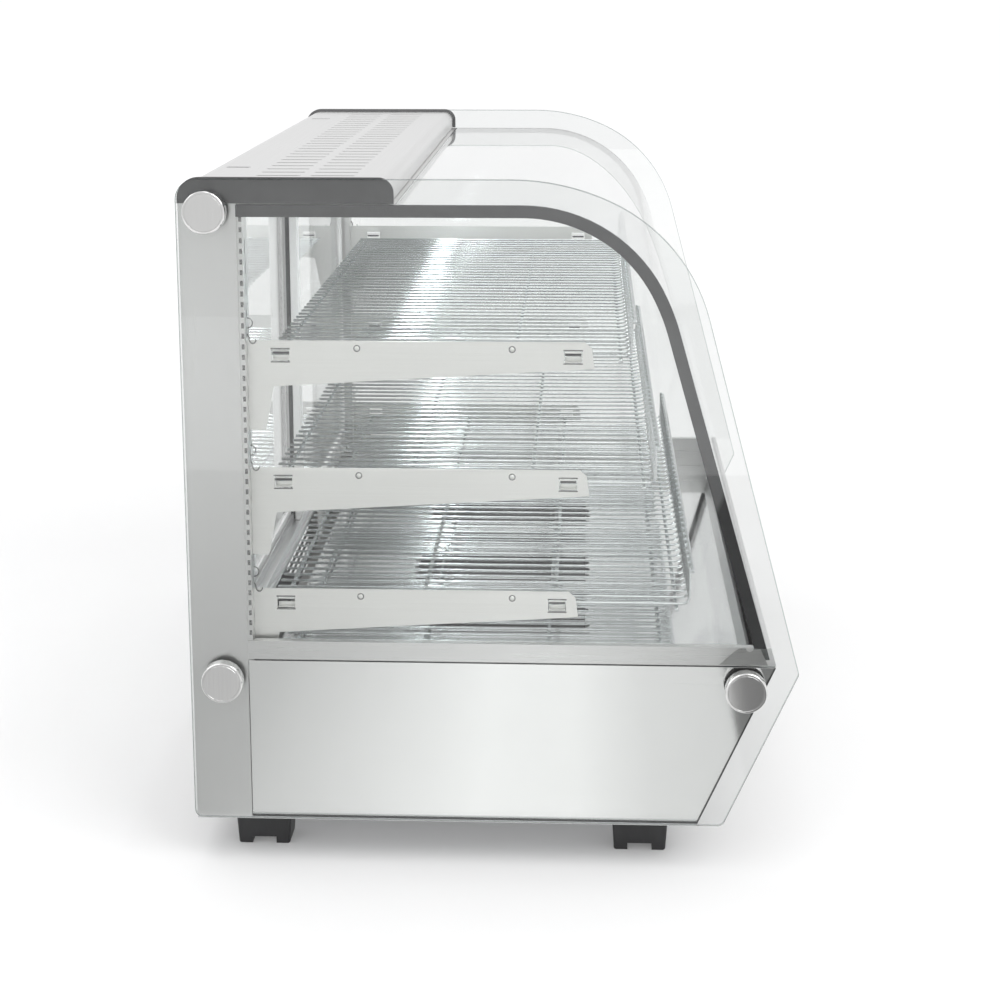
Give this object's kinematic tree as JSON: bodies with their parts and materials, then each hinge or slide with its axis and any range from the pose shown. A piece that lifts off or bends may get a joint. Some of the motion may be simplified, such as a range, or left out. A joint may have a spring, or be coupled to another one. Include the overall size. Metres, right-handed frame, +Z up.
{
  "type": "bakery display case",
  "caption": "Countertop pastry display case with curved front glass, wire shelves, sliding rear doors and a chilled stainless base on block feet.",
  "frame": {"origin": "middle of the footprint at the height of the counter, on the soles of the feet", "axes": "+X along the width, -Y towards the customer, +Y towards the operator, +Z up"},
  "size_m": [0.88, 0.582, 0.671],
  "materials": {
    "clear_glass": "clear tempered glass with polished edges",
    "black_seal": "black rubber",
    "bracket_steel": "light powder coat",
    "chrome_wire": "bright plated wire",
    "mirror_steel": "mirror-polished stainless sheet",
    "polished_steel": "finely polished stainless",
    "brushed_steel": "brushed stainless sheet",
    "satin_aluminium": "satin anodised",
    "black_plastic": "moulded, matte",
    "grey_plastic": "moulded, matte",
    "white_plastic": "moulded, semi-gloss",
    "lamp_diffuser": "opal diffuser",
    "clear_washer": "translucent soft washer",
    "coil_aluminium": "thin fins",
    "fan_plastic": "moulded, matte",
    "compressor_paint": "black stove enamel",
    "copper_pipe": "copper tube",
    "galvanised_plate": "galvanised sheet"
  },
  "bodies": {
    "case": {"base_front_panel": "brushed_steel", "base_rear_panel": "brushed_steel", "base_side_panel_left": "polished_steel", "base_side_panel_right": "polished_steel", "bottom_plate": "galvanised_plate", "ceiling_panel": "brushed_steel", "compressor": "compressor_paint", "condenser_coil": "coil_aluminium", "condenser_fan_frame": "fan_plastic", "controller": "black_plastic", "deck": "mirror_steel", "door_track_bottom": "satin_aluminium", "door_track_top": "satin_aluminium", "evaporator_coil": "coil_aluminium", "evaporator_fan_frame": "fan_plastic", "evaporator_tub": "white_plastic", "feet": "black_plastic", "floor_rack": "chrome_wire", "front_glass": "clear_glass", "glass_holder": "satin_aluminium", "glass_seal_left": "black_seal", "glass_seal_right": "black_seal", "lamp_diffuser": "lamp_diffuser", "lamp_housing": "satin_aluminium", "panel_screws": "brushed_steel", "power_inlet": "black_plastic", "rear_column_left": "brushed_steel", "rear_column_right": "brushed_steel", "refrigerant_pipe": "copper_pipe", "shelf_bracket_bottom_left": "bracket_steel", "shelf_bracket_bottom_right": "bracket_steel", "shelf_bracket_middle_left": "bracket_steel", "shelf_bracket_middle_right": "bracket_steel", "shelf_bracket_top_left": "bracket_steel", "shelf_bracket_top_right": "bracket_steel", "shelf_uprights": "brushed_steel", "side_glass_left": "clear_glass", "side_glass_right": "clear_glass", "sills": "brushed_steel", "standoff_caps": "polished_steel", "standoff_washers": "clear_washer", "switch_bodies": "black_plastic", "top_cover": "brushed_steel", "top_cover_seals": "black_seal", "wire_shelf_bottom": "chrome_wire", "wire_shelf_middle": "chrome_wire", "wire_shelf_top": "chrome_wire"},
    "door_left": {"door_left_frame": "satin_aluminium", "door_left_glass": "clear_glass", "door_left_pull": "white_plastic"},
    "door_right": {"door_right_frame": "satin_aluminium", "door_right_glass": "clear_glass", "door_right_pull": "white_plastic"},
    "evaporator_rotor": {"evaporator_fan_rotor": "fan_plastic"},
    "condenser_rotor": {"condenser_fan_rotor": "fan_plastic"},
    "power_rocker": {"power_rocker": "black_plastic"},
    "lamp_rocker": {"lamp_rocker": "black_plastic"},
    "button_set": {"button_set": "grey_plastic"},
    "button_up": {"button_up": "grey_plastic"},
    "button_down": {"button_down": "grey_plastic"}
  },
  "joints": [
    {"name": "door_left_slide", "type": "slide", "parent": "case", "child": "door_left", "axis": [1, 0, 0], "range_m": [0, 0.383]},
    {"name": "door_right_slide", "type": "slide", "parent": "case", "child": "door_right", "axis": [-1, 0, 0], "range_m": [0, 0.383]},
    {"name": "evaporator_fan_spin", "type": "hinge", "parent": "case", "child": "evaporator_rotor", "pos_m": [0.17, -0.01, 0.15], "axis": [0, 0, 1], "continuous": true},
    {"name": "condenser_fan_spin", "type": "hinge", "parent": "case", "child": "condenser_rotor", "pos_m": [0.21, 0.213, 0.108], "axis": [0, 1, 0], "continuous": true},
    {"name": "power_rocker_tilt", "type": "hinge", "parent": "case", "child": "power_rocker", "pos_m": [-0.19, 0.282, 0.15], "axis": [1, 0, 0], "range_deg": [-20, 0]},
    {"name": "lamp_rocker_tilt", "type": "hinge", "parent": "case", "child": "lamp_rocker", "pos_m": [-0.15, 0.282, 0.15], "axis": [1, 0, 0], "range_deg": [-20, 0]},
    {"name": "button_set_press", "type": "slide", "parent": "case", "child": "button_set", "axis": [0, -1, 0], "range_m": [0, 0.0008], "stiffness_N_per_m": 400, "springref_m": -0.001},
    {"name": "button_up_press", "type": "slide", "parent": "case", "child": "button_up", "axis": [0, -1, 0], "range_m": [0, 0.0008], "stiffness_N_per_m": 400, "springref_m": -0.001},
    {"name": "button_down_press", "type": "slide", "parent": "case", "child": "button_down", "axis": [0, -1, 0], "range_m": [0, 0.0008], "stiffness_N_per_m": 400, "springref_m": -0.001}
  ]
}
